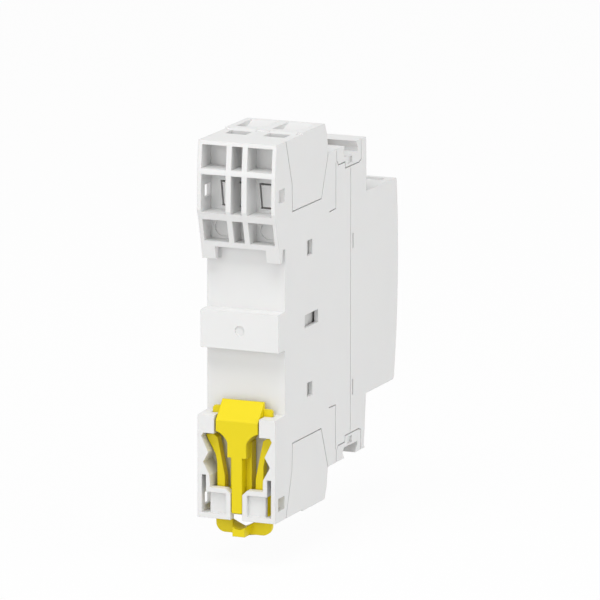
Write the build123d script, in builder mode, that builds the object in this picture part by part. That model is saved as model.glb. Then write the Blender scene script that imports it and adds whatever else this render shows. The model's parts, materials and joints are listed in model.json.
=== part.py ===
from build123d import *
import os

# A one-module contactor for a 35 mm top-hat rail: screw terminals for two poles at each end,
# one coil terminal at each end, and a sliding clip at its lower rear edge.
# Frame: +Z up along the housing's height, the front points to -Y and the rail side to +Y.
# The origin is the centre of the face that seats on the rail. All sizes are in millimetres.

# Housing, overall
width = 17.7
side_wall = 0.9
rear_wall = 1.5
floor_wall = 1.15
top_z = 40.45  # end faces of the power terminals
rear_top_z = 40.15  # end faces of the rear frame, a little lower
shoulder_z = 33.8  # end faces of the coil terminal step
shoulder_y = -43.8
nose_z = 22.05
nose_y = -61.8
nose_wall = 1.2
main_seam_y = -35.35
rear_y = 5.25
terminal_floor_z = 24.75  # inner end of each power terminal insert
chamber_z = 28.0  # end of the chamber beside the coil terminals
half = width / 2
inner_half = half - side_wall
cavity_z = terminal_floor_z - floor_wall
press_gap = 0.05  # between an inner piece and what holds it
slide_gap = 0.15  # between sliding faces

# Fine grooves where two mouldings meet on a flank
seam_width = 0.24
seam_depth = 0.55

# Rail and its seat
rail_height = 35.0
rail_stop_z = -18.0  # the rail's lower edge stands on the ears of the clip chamber
rail_slot = 1.1  # hook slot for the rail's 1 mm lip, at its closed end
rail_slot_mouth = 1.5
hook_lip = 2.75  # how far the two hook legs reach over the rail
hook_leg_x = 5.75  # inner side of each leg
hook_relief = 0.1  # the seat is this much lower under each hook, so the rail's lip slips in
boss_depth = 3.5  # bar in the middle of the seat, reaching into the rail's channel
boss_half = 4.05
ejector_radius = 1.04
mark_depth = 0.3  # of the round marks that ejector pins leave
hook_z = rail_stop_z + rail_height + 0.5

# Rear frame: three columns by three rows of pockets above the rail
pocket_mid_half = 1.2
pocket_rib = 1.2
pocket_rows = [(34.25, rear_top_z - 0.9), (24.93, 33.05), (18.67, 23.42)]
pocket_edge = pocket_mid_half + pocket_rib
pocket_columns = [
    (-inner_half, -pocket_edge),
    (-pocket_mid_half, pocket_mid_half),
    (pocket_edge, inner_half),
]
pocket_mark_x = 5.2  # round marks in the lowest row, and their size
pocket_mark_radius = 1.85
frame_window = ((0.24, 3.27), (27.7, 30.45))  # through both side walls of the frame
latch_slit = 0.4  # slits round the latch behind each outer pocket of the middle row
latch_z = (25.65, 31.1)
latch_x = (-3.4, 1.0)  # beside the pole's middle
latch_slant = 0.5
latch_depth = 3.0

# Poles and power terminals
pole_inset = 4.45  # from each flank to the middle of its pole
pole_x = half - pole_inset
poles = {"right": -pole_x, "left": pole_x}
ends = {"upper": 1, "lower": -1}
screw_z = 36.4
screw_head_radius = 2.2
screw_head = 1.4
screw_radius = 1.5
screw_recess_y = -22.2
screw_access_radius = 1.85
thread_gap = 0.05
head_gap = 0.15
tab_y = -16.9  # front face of the tab that the wire is clamped against
tab_thick = 0.8
tab_half = 2.0
tab_gap = 0.1
cage_half = 3.05
cage_side = 0.85
cage_plate = 1.2
cage_height = 4.4
wire_gap = 4.5  # open clamp, from the tab to the far plate of its cage
funnel_x = (1.05, 7.3)  # lead-in of each wire entry
funnel_front_y = -20.4
funnel_slope = 0.32
ramp_x = (1.6, 7.8)
ramp_y = (-9.4, -8.2)
slot_x = (1.95, 6.75)  # small slot behind each wire entry
slot_y = (-8.1, -4.4)
slot_floor_z = 34.0

# Coil terminals
coil_screw_z = 28.8
coil_head_radius = 2.0
coil_head = 1.1
coil_screw_radius = 1.25
coil_recess_y = -43.4
coil_access_radius = 1.7
coil_tab_y = -38.95
coil_cage_half = 2.95
coil_cage_side = 0.8
coil_cage_plate = 1.1
coil_wire_gap = 4.3
channel_floor_z = 31.5
coil_block_floor_z = 29.0
coil_tag_end = 18.6
coil_lead_radius = 0.25

# Contacts and contact carrier
carrier_travel = 4.0
tip_radius = 1.6
fixed_tip = 1.0
moving_tip = 0.8
tip_z = 9.0
contact_gap = 3.1
bar_end_z = 7.2
bridge_thick = 1.0
bridge_half_z = 11.0
bridge_half_x = 2.0
carrier_rear_y = -2.8
carrier_wall = 1.4
carrier_half_z = 6.0
carrier_half_x = inner_half - 0.55
carrier_window_half = 2.3
carrier_plate_y = -26.2
carrier_plate = 2.0
lug_x = (4.25, 5.75)
lug_reach = 3.1

# Electromagnet
stack_half = 4.0
armature_thick = 3.2
magnet_half_z = 13.6
pin_radius = 1.0
core_gap = 0.1
centre_leg = 3.4  # half of its height
outer_leg_z = 10.2
yoke = 3.4
ring_bar = 0.45
ring_depth = 1.0
ring_z = 11.6
bobbin_wall = 0.8
bobbin_flange = 1.2
bobbin_rear_y = -36.9
bobbin_front_y = -54.4
winding_half_x = inner_half - 0.45
coil_lead_x = winding_half_x - 1.9
winding_half_z = 9.8
flag_z = (magnet_half_z + 0.8, magnet_half_z + 2)
flag_half = 1.7
flag_end_y = -56.8
damper = 1.1
return_spring_z = flag_z[1] + 2.4
carrier_arm_z = return_spring_z + 2.2
bobbin_half_z = return_spring_z + 2.9
return_spring_radius = 1.75
return_spring_wire = 0.5
contact_spring_radius = 1.5
contact_spring_wire = 0.4
peg_radius = 1.1
peg_length = 1.5

# Rail clip and its chamber
clip_gap = 0.25
clip_rear_y = 5.0
clip_head_half = 4.78
clip_head_top = -15.2
clip_crease_z = -19.1
clip_head_end = -22.1
clip_stem_half = 2.15
clip_stem_end = -26.85
clip_rib_half = 1.2
clip_rib_end = -39.0
clip_rib_corner = 0.3
clip_web_y = 2.6
clip_plate_y = 1.3
clip_plate_half = 6.3
clip_plate_top = -34.2
clip_end = -43.85
tongue_half = 1.8
tongue_top = -41.7
tongue_y = 3.3
scoop_radius = 1.45
wing_half = 6.75
wing_z = (-18.9, -16.8)
wing_slant = 0.8
arm_y = (1.3, 3.1)
ear_half = 5.15
ear_under_z = -22.0
tray_z = -33.55
tray_y = 3.4
tray_post = 1.35
tray_rim = 1.05
tray_panel = 0.9
tray_panel_half = 6.3
tray_slot = (6.95, 7.9)
tray_slot_top = -30.95
tray_window = ((0.24, 3.6), (-37.85, -35.07))  # through both side walls below

# Depths that follow from the sizes above
far_plate_y = tab_y + tab_thick + wire_gap
coil_far_plate_y = coil_tab_y + tab_thick + coil_wire_gap
head_rear_y = screw_recess_y + screw_head
coil_head_rear_y = coil_recess_y + coil_head
fixed_tip_y = tab_y + tab_thick + fixed_tip
moving_tip_y = fixed_tip_y + contact_gap
bridge_y = moving_tip_y + moving_tip
window_front_y = bridge_y - tab_gap
window_rear_y = carrier_rear_y - carrier_wall
armature_y = carrier_plate_y - press_gap - armature_thick
core_y = armature_y - carrier_travel - core_gap
yoke_rear_y = bobbin_front_y - press_gap
core_front_y = yoke_rear_y - yoke

# Outline of each power terminal insert on the flank, upper end
terminal_outline = [
    (ramp_y[0], top_z),
    (ramp_y[0], rear_top_z),
    (-0.45, rear_top_z),
    (-3.66, 30.8),
    (-3.95, terminal_floor_z),
    (-19.4, terminal_floor_z),
    (-23.1, shoulder_z),
    (-22.4, 38.0),
    (-21.2, top_z),
]
terminal_seat = terminal_outline[2:7]

# Outline of each coil terminal insert on the flank, upper end
coil_block_outline = [
    (-27.66, shoulder_z),
    (-27.66, 31.4),
    (-28.6, 30.35),
    (-32.3, 30.35),
    (-32.5, coil_block_floor_z),
    (-39.9, coil_block_floor_z),
    (-41.1, coil_block_floor_z + 0.4),
    (-41.1, shoulder_z),
]


# Joint line between the rear housing and the front cover
main_seam = [(main_seam_y, -coil_block_floor_z), (main_seam_y, coil_block_floor_z)]


def centred(middle, reach):
    # The limits of something that reaches equally far to both sides
    return (middle - reach, middle + reach)


def facing(end, low, high):
    # Limits given for the upper or left half, mirrored where end is -1
    return tuple(sorted((end * low, end * high)))


def at_end(points, end):
    # An outline given for the upper end, mirrored to the lower end where end is -1
    return [(y, end * z) for y, z in points]


def mirrored(points):
    # One half of an outline, closed by its mirror image across x = 0
    return points + [(-x, z) for x, z in reversed(points)]


def flank_prism(points, x_range, mode=Mode.ADD):
    # A profile seen on the flank, as (y, z), extruded across the width
    with BuildSketch(Plane.YZ.offset(x_range[0])) as profile:
        with BuildLine():
            Polyline(*points, close=True)
        make_face()
    extrude(profile.sketch, amount=x_range[1] - x_range[0], mode=mode)


def rear_prism(points, y_range, mode=Mode.ADD):
    # A profile seen from the rear, as (x, z), extruded along the depth
    with BuildSketch(Plane.XZ.offset(-y_range[1])) as profile:
        with BuildLine():
            Polyline(*points, close=True)
        make_face()
    extrude(profile.sketch, amount=y_range[1] - y_range[0], mode=mode)


def block(x_range, y_range, z_range, mode=Mode.ADD):
    # A rectangular boss or cut-out between the given limits
    limits = [sorted(span) for span in (x_range, y_range, z_range)]
    with Locations(tuple((low + high) / 2 for low, high in limits)):
        Box(*(high - low for low, high in limits), mode=mode)


def rod(radius, x, z, y_range, mode=Mode.ADD):
    # A round bar or hole along the depth
    with BuildSketch(Plane.XZ.offset(-y_range[1])) as profile:
        with Locations((x, z)):
            Circle(radius)
    extrude(profile.sketch, amount=y_range[1] - y_range[0], mode=mode)


def cross_rod(radius, y, z, x_range, mode=Mode.ADD):
    # A round bar or hole across the width
    with BuildSketch(Plane.YZ.offset(x_range[0])) as profile:
        with Locations((y, z)):
            Circle(radius)
    extrude(profile.sketch, amount=x_range[1] - x_range[0], mode=mode)


def flank_seam(points):
    # A fine groove along a joint line, on both flanks
    for side in (1, -1):
        with BuildSketch(Plane.YZ.offset(side * half)) as groove:
            with BuildLine() as stroke:
                Polyline(*points)
            trace(stroke.line, seam_width)
        extrude(groove.sketch, amount=-side * seam_depth, mode=Mode.SUBTRACT)


def terminal_block(end):
    # Insert for two power clamps, with a wire entry and a screw access for each
    wire_hole_y = (tab_y + tab_thick - slide_gap, far_plate_y + tab_gap)
    funnel_floor = top_z - funnel_slope * (wire_hole_y[0] - funnel_front_y)
    with BuildPart() as piece:
        flank_prism(at_end(terminal_outline, end), (-half, half))
        for side, x in ((-1, -pole_x), (1, pole_x)):
            ramp = [(ramp_y[0], top_z), (ramp_y[0], rear_top_z), (ramp_y[1], rear_top_z)]
            flank_prism(at_end(ramp, end), facing(side, *ramp_x))
            # Chamber of the clamp, and the screw's head behind its access hole
            block(
                centred(x, cage_half + slide_gap),
                (head_rear_y + press_gap, far_plate_y + cage_plate + slide_gap),
                centred(end * screw_z, cage_height / 2 + slide_gap),
                mode=Mode.SUBTRACT,
            )
            rod(
                screw_head_radius + head_gap,
                x,
                end * screw_z,
                (screw_recess_y - press_gap, head_rear_y + slide_gap),
                mode=Mode.SUBTRACT,
            )
            rod(screw_access_radius, x, end * screw_z, (-24, screw_recess_y), mode=Mode.SUBTRACT)
            # Wire entry with its sloping lead-in
            block(
                centred(x, cage_half - cage_side + tab_gap),
                wire_hole_y,
                facing(end, screw_z, top_z + 1),
                mode=Mode.SUBTRACT,
            )
            funnel = [
                (funnel_front_y, top_z),
                (wire_hole_y[0], funnel_floor),
                (wire_hole_y[1], funnel_floor),
                (wire_hole_y[1], top_z + 1),
                (funnel_front_y, top_z + 1),
            ]
            flank_prism(at_end(funnel, end), facing(side, *funnel_x), mode=Mode.SUBTRACT)
            block(
                facing(side, *slot_x),
                slot_y,
                facing(end, slot_floor_z, top_z + 1),
                mode=Mode.SUBTRACT,
            )
            # Slot for the fixed contact's bar
            block(
                centred(x, tab_half + press_gap),
                (tab_y - press_gap, tab_y + tab_thick + press_gap),
                facing(end, terminal_floor_z - 1, screw_z),
                mode=Mode.SUBTRACT,
            )
        flank_seam(at_end(terminal_seat, end))
    return piece


def coil_block(end):
    # Insert over one coil clamp, with a wire channel across the full width
    room = coil_cage_half + slide_gap
    with BuildPart() as piece:
        flank_prism(at_end(coil_block_outline, end), (-half, half))
        channel = [
            (-38.0, shoulder_z + 0.1),
            (-39.2, 32.4),
            (-39.2, channel_floor_z),
            (-31.85, channel_floor_z),
            (-31.0, 32.5),
            (-32.1, shoulder_z + 0.1),
        ]
        flank_prism(at_end(channel, end), (-half - 1, half + 1), mode=Mode.SUBTRACT)
        block((-room, room), (-39.2, -32.6), facing(end, 30.5, 31.6), mode=Mode.SUBTRACT)
        block((-room, room), (-42.0, -32.6), facing(end, 30.0, 31.2), mode=Mode.SUBTRACT)
        block((-room, room), (-42.0, -32.2), facing(end, 28.0, 30.4), mode=Mode.SUBTRACT)
        for side in (1, -1):
            block(
                facing(side, half - 0.5, half + 1),
                (-36.2, -33.9),
                facing(end, 29.6, 31.1),
                mode=Mode.SUBTRACT,
            )
        flank_seam(at_end(coil_block_outline, end))
    return piece


def clamp_screw(x, z, head_radius, head, radius, recess_y, tip_y):
    # A captive screw along the depth, with a cross recess in its head
    with BuildPart() as piece:
        rod(head_radius, x, z, (recess_y, recess_y + head))
        chamfer(piece.faces().sort_by(Axis.Y)[0].edges(), 0.25)
        rod(radius, x, z, (recess_y + head, tip_y))
        chamfer(piece.faces().sort_by(Axis.Y)[-1].edges(), 0.3)
        reach = 0.75 * head_radius
        recess = (recess_y - 1, recess_y + 0.65 * head)
        block(centred(x, reach), recess, centred(z, 0.35), mode=Mode.SUBTRACT)
        block(centred(x, 0.35), recess, centred(z, reach), mode=Mode.SUBTRACT)
    return piece


def clamp_cage(x, z, reach, side, plate, tab_front, far_plate, bore):
    # A lift clamp: a bent ring round the tab, its front plate threaded for the screw
    with BuildPart() as piece:
        block(
            centred(x, reach),
            (tab_front - tab_gap - plate, far_plate + plate),
            centred(z, cage_height / 2),
        )
        fillet(piece.edges().filter_by(Axis.Z), 0.5)
        block(
            centred(x, reach - side),
            (tab_front - tab_gap, far_plate),
            centred(z, cage_height),
            mode=Mode.SUBTRACT,
        )
        rod(bore, x, z, (tab_front - tab_gap - 2 * plate, tab_front), mode=Mode.SUBTRACT)
    return piece


def spring(radius, wire, turns, x, z, y_range):
    # A compression spring along the depth, just short of both of its seats
    length = y_range[1] - y_range[0] - wire - 2 * press_gap
    start = (x, y_range[1] - wire / 2 - press_gap, z)
    with BuildPart() as piece:
        with BuildLine() as path:
            Helix(pitch=length / turns, height=length, radius=radius, center=start, direction=(0, -1, 0))
        with BuildSketch(Plane(origin=path.line @ 0, z_dir=path.line % 0)):
            RegularPolygon(wire / 2, 6)
        sweep(path=path.line, is_frenet=True)
    return piece


def write(piece, name):
    # Labels a finished piece and writes it under its own name
    piece.part.label = name
    export_step(piece.part, f"parts/{name}.step")


os.makedirs("parts", exist_ok=True)

# Rear housing: seat, hook legs, rear frame, clip chamber and the walls round the mechanism
clip_chamber_outline = mirrored(
    [
        (ear_half, rail_stop_z + 0.5),
        (ear_half, ear_under_z),
        (7.6, ear_under_z),
        (8.05, -22.75),
        (6.43, -26.15),
        (7.6, -28.25),
        (6.1, -31.0),
        (6.0, tray_z),
        (tray_post + 1.1, tray_z),
        (tray_post, tray_z - 1.05),
        (tray_post, -rear_top_z - 0.5),
    ]
)
with BuildPart() as rear_housing:
    rear_outline = [
        (4.45, rear_top_z),
        (5.15, 33.5),
        (5.3, 25.5),
        (4.4, 22.7),
        (3.27, 18.3),
        (2.5, hook_z - hook_lip),
        (rail_slot_mouth, hook_z - hook_lip),
        (rail_slot, hook_z),
        (0, hook_z),
        (0, rail_stop_z),
        (rear_y - 0.1, rail_stop_z - 0.15),
        (rear_y, -rear_top_z),
    ]
    lower_side = at_end(terminal_seat, -1) + [(main_seam_y, -shoulder_z)]
    upper_side = [(main_seam_y, shoulder_z)] + terminal_seat[::-1]
    flank_prism(rear_outline + lower_side + upper_side, (-half, half))
    # Bar across the seat, with the round mark of an ejector pin
    block((-half, half), (-0.5, boss_depth), (-boss_half, boss_half))
    rod(ejector_radius, 0, 0, (boss_depth - mark_depth, boss_depth + 1), mode=Mode.SUBTRACT)
    # Space between the two hook legs
    leg_z = (hook_z - hook_lip - 1, hook_z)
    block((-hook_leg_x, hook_leg_x), (0, rear_y), leg_z, mode=Mode.SUBTRACT)
    for side in (1, -1):
        relief = facing(side, hook_leg_x - hook_relief, half + 1)
        relief_z = (hook_z - hook_lip - hook_relief, hook_z)
        block(relief, (-hook_relief, rail_slot / 2), relief_z, mode=Mode.SUBTRACT)
    # Chamber for the contacts and the magnet, open to the front
    chamber = [
        (-rear_wall, cavity_z),
        (-20.1, cavity_z),
        (-22.0, chamber_z),
        (main_seam_y - 1, chamber_z),
    ]
    flank_prism(
        chamber + at_end(chamber, -1)[::-1], (-inner_half, inner_half), mode=Mode.SUBTRACT
    )
    for end in ends.values():
        flank_prism(at_end(coil_block_outline, end), (-half - 1, half + 1), mode=Mode.SUBTRACT)
        # Way through for each fixed contact, and room for the coil clamp
        for x in poles.values():
            block(
                centred(x, tab_half + press_gap),
                (tab_y - press_gap, tab_y + tab_thick + press_gap),
                facing(end, cavity_z - 0.5, terminal_floor_z + 0.5),
                mode=Mode.SUBTRACT,
            )
        block(
            centred(0, coil_cage_half + slide_gap),
            (main_seam_y - 1, coil_far_plate_y + coil_cage_plate + slide_gap),
            facing(end, chamber_z - 0.5, coil_block_floor_z + 0.5),
            mode=Mode.SUBTRACT,
        )
    # Rear frame's nine pockets, with a round mark in the floors of the lowest row
    for x_range in pocket_columns:
        for z_range in pocket_rows:
            block(x_range, (0, rear_y + 1), z_range, mode=Mode.SUBTRACT)
    mark_z = sum(pocket_rows[2]) / 2
    for x in (-pocket_mark_x, pocket_mark_x):
        rod(pocket_mark_radius, x, mark_z, (-mark_depth, 1), mode=Mode.SUBTRACT)
    # Latch slits in the floors of the middle row, and the window in each side wall
    for x in poles.values():
        edge_x = x + latch_x[1]
        slit = [
            (edge_x, latch_z[1]),
            (edge_x + latch_slit, latch_z[1]),
            (edge_x + latch_slit - latch_slant, latch_z[0]),
            (edge_x - latch_slant, latch_z[0]),
        ]
        rear_prism(slit, (-latch_depth, 0.5), mode=Mode.SUBTRACT)
        cross_slit = (x + latch_x[0], edge_x)
        for low_z in (latch_z[0], latch_z[1] - latch_slit):
            z_range = (low_z, low_z + latch_slit)
            block(cross_slit, (-latch_depth, 0.5), z_range, mode=Mode.SUBTRACT)
    for side in (1, -1):
        wall = facing(side, pocket_edge + 1, half + 1)
        block(wall, *frame_window, mode=Mode.SUBTRACT)
    # Chamber of the rail clip, with two rest notches on each side for its arms
    rear_prism(clip_chamber_outline, (0, rear_y + 1), mode=Mode.SUBTRACT)
    block((-6.6, 6.6), (0, tray_y), (-rear_top_z - 1, tray_z + 0.05), mode=Mode.SUBTRACT)
    wing_room = (ear_under_z - 0.05, rail_stop_z + 1)
    block((-6.95, 6.95), (0.85, 2.25), wing_room, mode=Mode.SUBTRACT)
    # Two trays that bridge over the clip's end, each with a slot beside it
    tray_top = tray_z - tray_rim
    tray_bottom = tray_rim - rear_top_z
    for side in (1, -1):
        slot = facing(side, *tray_slot)
        block(slot, (0.5, rear_y + 1), (tray_top, tray_slot_top), mode=Mode.SUBTRACT)
        slot = facing(side, tray_panel_half, tray_slot[1])
        block(slot, (frame_window[0][0], rear_y + 1), (tray_bottom, tray_top), mode=Mode.SUBTRACT)
        recess = facing(side, tray_post + tray_rim, tray_panel_half + 0.1)
        block(
            recess, (tray_y + tray_panel, rear_y + 1), (tray_bottom, tray_top), mode=Mode.SUBTRACT
        )
        wall = facing(side, tray_slot[1] - 0.3, half + 1)
        block(wall, *tray_window, mode=Mode.SUBTRACT)
    # Windows in both flanks, for the latches of the contact chamber and over the carrier
    for y_range, z_range in (
        ((-14.58, -11.7), (13.8, 17.1)),
        ((-14.58, -11.7), (-16.4, -13.4)),
        ((-17.7, -10.5), (-1.4, 1.4)),
    ):
        block((-half - 1, half + 1), y_range, z_range, mode=Mode.SUBTRACT)
    # Joint lines on the flanks
    for end in ends.values():
        flank_seam(at_end([(-27.2, 31.0), (-27.2, 21.25), (-23.7, 21.1)], end))
        flank_seam(at_end(terminal_seat, end))
        flank_seam(at_end(coil_block_outline, end))
    flank_seam(main_seam)
write(rear_housing, "rear_housing")

# Front cover: shoulders over the coil terminals and the nose that shows through a panel
nose_corner_y = nose_y + 0.9
nose_lower_y = nose_y + 2.2
with BuildPart() as front_cover:
    with BuildSketch(Plane.YZ.offset(-half)) as cover_profile:
        with BuildLine():
            Polyline(
                (nose_corner_y, nose_z),
                (shoulder_y - 0.2, nose_z),
                (shoulder_y, shoulder_z),
                (main_seam_y, shoulder_z),
                (main_seam_y, -shoulder_z),
                (shoulder_y + 0.4, -shoulder_z),
                (shoulder_y + 0.9, -shoulder_z + 0.6),
                (shoulder_y - 0.2, -nose_z),
                (nose_lower_y, -nose_z),
            )
            ThreePointArc((nose_lower_y, -nose_z), (nose_y, 6.0), (nose_corner_y, nose_z))
        make_face()
        fillet(cover_profile.vertices().sort_by(Axis.X)[:2], 0.9)
    extrude(amount=width)
    # Nose cavity, its front wall following the bowed outline
    with BuildSketch(Plane.YZ.offset(-inner_half)) as nose_cavity:
        inner_z = nose_z - 1.05
        with BuildLine():
            Polyline(
                (nose_corner_y + nose_wall, inner_z),
                (main_seam_y + 1, inner_z),
                (main_seam_y + 1, -inner_z),
                (nose_lower_y + nose_wall, -inner_z),
            )
            ThreePointArc(
                (nose_lower_y + nose_wall, -inner_z),
                (nose_y + nose_wall, 6.0),
                (nose_corner_y + nose_wall, inner_z),
            )
        make_face()
    extrude(amount=2 * inner_half, mode=Mode.SUBTRACT)
    shoulder_wall_y = shoulder_y + nose_wall
    block(
        (-inner_half, inner_half),
        (shoulder_wall_y, main_seam_y + 1),
        (-chamber_z, chamber_z),
        mode=Mode.SUBTRACT,
    )
    for end in ends.values():
        flank_prism(at_end(coil_block_outline, end), (-half - 1, half + 1), mode=Mode.SUBTRACT)
        # Room for the coil clamp and its screw, with the screw's access hole
        block(
            centred(0, coil_cage_half + slide_gap),
            (coil_head_rear_y + slide_gap, main_seam_y + 1),
            centred(end * coil_screw_z, cage_height / 2 + 0.2),
            mode=Mode.SUBTRACT,
        )
        rod(
            coil_head_radius + head_gap,
            0,
            end * coil_screw_z,
            (coil_recess_y - press_gap, coil_head_rear_y + 0.2),
            mode=Mode.SUBTRACT,
        )
        rod(coil_access_radius, 0, end * coil_screw_z, (-46, coil_recess_y), mode=Mode.SUBTRACT)
        # Ribs that hold the magnet's core against its damper
        block(
            (-inner_half, inner_half),
            (nose_y + 0.9, core_front_y - damper - 2 * press_gap),
            facing(end, 8.0, 9.2),
        )
    # Window of the state flag, recess on the nose's upper face, narrow slots in the flanks
    flag_window = (flag_z[0] - 0.4, flag_z[1] + 0.4)
    block(centred(0, flag_half + 0.3), (nose_y - 1, nose_y + 4), flag_window, mode=Mode.SUBTRACT)
    block((-7.2, 7.2), (-58.8, -52.6), (nose_z - 0.5, nose_z + 1), mode=Mode.SUBTRACT)
    for z_range in ((10.96, 14.2), (-20.92, -17.46)):
        block((-half - 1, half + 1), (-36.9, -36.4), z_range, mode=Mode.SUBTRACT)
    for end in ends.values():
        flank_seam(at_end(coil_block_outline, end))
    flank_seam(main_seam)
write(front_cover, "front_cover")

# Screw terminals
for end_name, end in ends.items():
    write(terminal_block(end), f"{end_name}_terminal_block")
    write(coil_block(end), f"{end_name}_coil_block")
    for side_name, x in poles.items():
        name = f"{end_name}_{side_name}"
        screw = clamp_screw(
            x,
            end * screw_z,
            screw_head_radius,
            screw_head,
            screw_radius,
            screw_recess_y,
            tab_y - press_gap,
        )
        write(screw, f"power_screw_{name}")
        cage = clamp_cage(
            x,
            end * screw_z,
            cage_half,
            cage_side,
            cage_plate,
            tab_y,
            far_plate_y,
            screw_radius + thread_gap,
        )
        write(cage, f"power_cage_{name}")
        # Fixed contact: one straight bar from the clamp to the contact tip
        with BuildPart() as fixed_contact:
            block(
                centred(x, tab_half),
                (tab_y, tab_y + tab_thick),
                facing(end, bar_end_z, screw_z + cage_height / 2 - 0.2),
            )
            fillet(fixed_contact.edges().filter_by(Axis.Y), 0.6)
        write(fixed_contact, f"fixed_contact_{name}")
    screw = clamp_screw(
        0,
        end * coil_screw_z,
        coil_head_radius,
        coil_head,
        coil_screw_radius,
        coil_recess_y,
        coil_tab_y - press_gap,
    )
    write(screw, f"coil_screw_{end_name}")
    cage = clamp_cage(
        0,
        end * coil_screw_z,
        coil_cage_half,
        coil_cage_side,
        coil_cage_plate,
        coil_tab_y,
        coil_far_plate_y,
        coil_screw_radius + thread_gap,
    )
    write(cage, f"coil_cage_{end_name}")
    # Coil tag, bent sideways at its inner end to meet the winding's lead
    with BuildPart() as coil_tag:
        tag_y = (coil_tab_y, coil_tab_y + tab_thick)
        tag_top = coil_screw_z + cage_height / 2
        block(centred(0, tab_half), tag_y, facing(end, coil_tag_end + 3, tag_top))
        block(
            (-tab_half, coil_lead_x + 0.7), tag_y, facing(end, coil_tag_end, coil_tag_end + 3.4)
        )
        fillet(coil_tag.edges().filter_by(Axis.Y), 0.4)
    write(coil_tag, f"coil_tag_{end_name}")
    with BuildPart() as coil_lead:
        lead_y = coil_tab_y - coil_lead_radius - press_gap
        with BuildSketch(Plane.XY.offset(end * (winding_half_z + 0.1))):
            with Locations((coil_lead_x, lead_y)):
                Circle(coil_lead_radius)
        extrude(amount=end * (coil_tag_end + 1 - winding_half_z))
    write(coil_lead, f"coil_lead_{end_name}")

# Silver tips on the four fixed contacts
with BuildPart() as fixed_tips:
    for x in poles.values():
        for end in ends.values():
            rod(tip_radius, x, end * tip_z, (tab_y + tab_thick, fixed_tip_y))
write(fixed_tips, "fixed_tips")

# Contact chamber: rear plate, partition between the poles and latches in the flank windows
with BuildPart() as contact_chamber:
    plate_front_y = carrier_rear_y + 0.1
    block(
        centred(0, inner_half - 2 * press_gap),
        (plate_front_y, -rear_wall - press_gap),
        centred(0, cavity_z - 2 * press_gap),
    )
    for end in ends.values():
        partition_z = facing(end, carrier_half_z + 0.8, cavity_z - 2 * press_gap)
        block((-0.5, 0.5), (-20.0, plate_front_y), partition_z)
        for side in (1, -1):
            latch_x = facing(side, inner_half - 1.0, inner_half - 2 * press_gap)
            block(latch_x, (-17.0, plate_front_y), facing(end, 12.4, 18.3))
write(contact_chamber, "contact_chamber")

# Contact carrier: windows for the bridges at its rear, a plate with two arms at its front
with BuildPart() as contact_carrier:
    plate_rear_y = carrier_plate_y + carrier_plate
    block(
        centred(0, carrier_half_x), (plate_rear_y, carrier_rear_y), centred(0, carrier_half_z)
    )
    plate_outline = [
        (carrier_half_x, 9.0),
        (4.6, 12.6),
        (2.7, 13.4),
        (2.7, carrier_arm_z),
    ]
    plate_side = [(x, -z) for x, z in reversed(plate_outline)] + plate_outline
    rear_prism(mirrored(plate_side), (carrier_plate_y, plate_rear_y))
    for x in poles.values():
        reach_z = centred(0, carrier_half_z + 1)
        opening = centred(x, carrier_window_half)
        block(opening, (window_front_y, window_rear_y), reach_z, mode=Mode.SUBTRACT)
        block(
            centred(x, carrier_window_half - 0.1),
            (plate_rear_y + 1.6, window_front_y - 1.5),
            reach_z,
            mode=Mode.SUBTRACT,
        )
        rod(peg_radius, x, 0, (window_rear_y - peg_length, window_rear_y))
    for side in (1, -1):
        rib_x = facing(side, carrier_half_x - 0.1, inner_half - slide_gap)
        for y_range in ((-14.7, -12.3), (-22.6, -20.2)):
            block(rib_x, y_range, centred(0, carrier_half_z))
        # Lug for the armature's pin, and a peg for the return spring
        block(
            facing(side, *lug_x), (carrier_plate_y - lug_reach, carrier_plate_y), (-2.2, 2.2)
        )
        rod(peg_radius, 0, side * return_spring_z, (carrier_plate_y - peg_length, carrier_plate_y))
    pin_y = armature_y + armature_thick / 2
    cross_rod(pin_radius + press_gap, pin_y, 0, (-half, half), mode=Mode.SUBTRACT)
    block(
        centred(0, flag_half + press_gap),
        (carrier_plate_y - 1, plate_rear_y + 1),
        (flag_z[0] - press_gap, flag_z[1] + press_gap),
        mode=Mode.SUBTRACT,
    )
write(contact_carrier, "contact_carrier")

# State flag, a strip hooked into the carrier's plate that ends in the nose's window
with BuildPart() as indicator_flag:
    block(centred(0, flag_half), (flag_end_y, plate_rear_y + 0.6), flag_z)
    block(
        centred(0, flag_half + 0.7),
        (plate_rear_y + press_gap, plate_rear_y + 0.7),
        (flag_z[0] - 0.5, flag_z[1] + 0.5),
    )
write(indicator_flag, "indicator_flag")

# Armature, a flat stack on a pin between the carrier's lugs
with BuildPart() as armature:
    block(
        centred(0, stack_half), (armature_y, armature_y + armature_thick), centred(0, magnet_half_z)
    )
    chamfer(armature.edges().filter_by(Axis.X).group_by(Axis.Y)[-1], 0.8)
    cross_rod(pin_radius + press_gap, pin_y, 0, (-half, half), mode=Mode.SUBTRACT)
write(armature, "armature")

with BuildPart() as armature_pin:
    cross_rod(pin_radius, pin_y, 0, (-lug_x[1] - 0.3, lug_x[1] + 0.3))
    chamfer(armature_pin.edges().filter_by(GeomType.CIRCLE), 0.2)
write(armature_pin, "armature_pin")

# Fixed core: an E-shaped stack with a slot for a shading ring in each outer leg
with BuildPart() as fixed_core:
    block(centred(0, stack_half), (core_front_y, core_y), centred(0, magnet_half_z))
    for end in ends.values():
        block(
            centred(0, half),
            (yoke_rear_y, core_y + 1),
            facing(end, centre_leg, outer_leg_z),
            mode=Mode.SUBTRACT,
        )
        ring_slot = facing(end, ring_z - press_gap, ring_z + ring_bar + press_gap)
        slot_floor_y = core_y - core_gap - ring_depth - press_gap
        block(centred(0, half), (slot_floor_y, core_y + 1), ring_slot, mode=Mode.SUBTRACT)
write(fixed_core, "fixed_core")

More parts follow.
